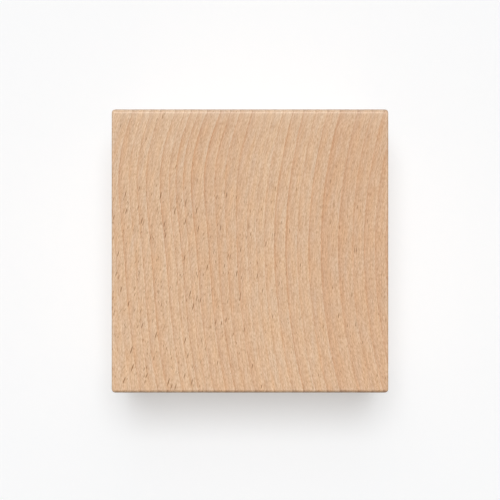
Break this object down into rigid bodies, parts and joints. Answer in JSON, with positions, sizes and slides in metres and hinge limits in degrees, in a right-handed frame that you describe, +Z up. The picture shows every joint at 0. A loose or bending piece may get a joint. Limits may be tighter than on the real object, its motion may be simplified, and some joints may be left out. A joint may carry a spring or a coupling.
{
  "type": "wooden cube",
  "caption": "Plain solid beech cube with lightly rounded edges and corners, used as a desk block, riser, spacer or stacking piece.",
  "frame": {"origin": "middle of the face that the cube stands on", "axes": "+Z up, out of the face that the picture shows; +Y along the grain, towards the picture's top edge; +X across the grain, towards its right edge"},
  "size_m": [0.06, 0.0616, 0.06],
  "materials": {
    "beech": "satin"
  },
  "bodies": {
    "root": {"wooden_cube": "beech"}
  },
  "joints": []
}
